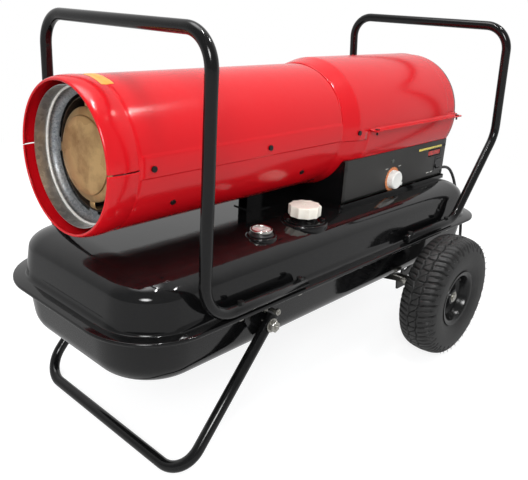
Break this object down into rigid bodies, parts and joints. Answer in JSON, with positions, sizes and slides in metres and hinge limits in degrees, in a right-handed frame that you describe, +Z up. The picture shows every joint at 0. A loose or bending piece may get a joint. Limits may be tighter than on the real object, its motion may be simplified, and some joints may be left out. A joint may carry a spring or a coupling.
{
  "type": "forced air heater",
  "caption": "Oil-fired forced air heater: barrel-shaped fan and burner casing on a wheeled fuel tank, with tube handles, a fixed front leg and side controls.",
  "frame": {"origin": "on the floor, at the middle of the heater's length and width without its cord", "axes": "+X to the rear, away from the hot-air outlet; +Y to the side away from the control panel; +Z up"},
  "size_m": [1.1645, 0.588, 0.6875],
  "materials": {
    "body_red": "gloss",
    "tank_black": "gloss",
    "frame_black": "gloss",
    "rim_black": "satin",
    "panel_grey": "satin",
    "galvanised": "satin",
    "heat_bronze": "heat tinted",
    "zinc": "zinc plated",
    "black_screw": "satin",
    "cast_grey": "cast",
    "aluminium": "satin",
    "brass": "satin",
    "copper": "drawn",
    "tyre_rubber": "matte",
    "seal_rubber": "matte",
    "cord_rubber": "satin",
    "cap_ivory": "satin",
    "knob_white": "gloss",
    "dial_orange": "satin",
    "black_plastic": "satin",
    "display_red": "gloss",
    "lamp_dark": "gloss",
    "lens_clear": "clear",
    "dial_card": "printed",
    "gauge_chrome": "polished",
    "needle_black": "matte",
    "float_grey": "matte",
    "board_green": "satin",
    "strainer_steel": "perforated"
  },
  "bodies": {
    "chassis": {"tank_lower_shell": "tank_black", "tank_upper_shell": "tank_black", "drain_plug": "zinc", "filler_neck": "tank_black", "filler_strainer": "strainer_steel", "gauge_body": "gauge_chrome", "gauge_dial": "dial_card", "gauge_lens": "lens_clear", "front_handle": "frame_black", "rear_handle": "frame_black", "front_leg": "frame_black", "leg_brackets": "frame_black", "frame_bolts": "zinc", "axle": "zinc", "axle_brackets": "frame_black", "axle_nuts": "zinc", "lower_shell": "body_red", "upper_shell": "body_red", "rear_hood": "body_red", "casing_screws": "black_screw", "outlet_liner": "galvanised", "outlet_dish": "galvanised", "combustion_chamber": "heat_bronze", "chamber_supports": "galvanised", "flame_deflector": "heat_bronze", "burner_head": "galvanised", "burner_nozzle": "brass", "motor": "cast_grey", "motor_bracket": "galvanised", "pump": "cast_grey", "fan_guard": "rim_black", "base_tray": "tank_black", "base_housing": "panel_grey", "control_panel": "panel_grey", "side_cover": "panel_grey", "thermostat_dial": "dial_orange", "thermostat_body": "black_plastic", "indicator_lamp": "lamp_dark", "display_window": "display_red", "switch_frame": "black_plastic", "barrel_saddle": "panel_grey", "control_board": "board_green", "fuel_pipe": "copper", "cord_gland": "black_plastic", "power_cord": "cord_rubber", "cord_coil": "cord_rubber", "cord_tie": "seal_rubber", "plug": "cord_rubber"},
    "left_wheel": {"left_tyre": "tyre_rubber", "left_rim": "rim_black"},
    "right_wheel": {"right_tyre": "tyre_rubber", "right_rim": "rim_black"},
    "rotor": {"fan": "aluminium"},
    "knob": {"thermostat_knob": "knob_white"},
    "rocker": {"rocker_switch": "black_plastic"},
    "cap_thread": {"cap_seal": "seal_rubber"},
    "cap": {"fuel_cap": "cap_ivory"},
    "pointer": {"gauge_needle": "needle_black"},
    "level_float": {"float_arm": "float_grey"}
  },
  "joints": [
    {"name": "left_wheel_spin", "type": "hinge", "parent": "chassis", "child": "left_wheel", "pos_m": [0.2685, -0.253, 0.13], "axis": [0, 1, 0], "continuous": true},
    {"name": "right_wheel_spin", "type": "hinge", "parent": "chassis", "child": "right_wheel", "pos_m": [0.2685, 0.253, 0.13], "axis": [0, 1, 0], "continuous": true},
    {"name": "fan_spin", "type": "hinge", "parent": "chassis", "child": "rotor", "pos_m": [0.306, 0, 0.479], "axis": [1, 0, 0], "continuous": true},
    {"name": "thermostat_turn", "type": "hinge", "parent": "chassis", "child": "knob", "pos_m": [0.226, -0.125, 0.3615], "axis": [0, -1, 0], "range_deg": [0, 240]},
    {"name": "power_rock", "type": "hinge", "parent": "chassis", "child": "rocker", "pos_m": [0.4205, -0.111, 0.369], "axis": [1, 0, 0], "range_deg": [0, 16]},
    {"name": "cap_lift", "type": "slide", "parent": "chassis", "child": "cap_thread", "axis": [0, 0, 1], "range_m": [0, 0.008]},
    {"name": "cap_turn", "type": "hinge", "parent": "cap_thread", "child": "cap", "pos_m": [-0.066, -0.117, 0.35], "axis": [0, 0, 1], "range_deg": [0, 720]},
    {"name": "pointer_turn", "type": "hinge", "parent": "chassis", "child": "pointer", "pos_m": [-0.186, -0.122, 0.3389], "axis": [0, 0, 1], "range_deg": [0, 120]},
    {"name": "float_swing", "type": "hinge", "parent": "chassis", "child": "level_float", "pos_m": [-0.186, -0.122, 0.3], "axis": [0, 1, 0], "range_deg": [0, 60]}
  ],
  "couplings": [
    {"joint": "cap_lift", "follows": "cap_turn", "m_per_rad": 0.00063662},
    {"joint": "pointer_turn", "follows": "float_swing", "ratio": 2}
  ]
}
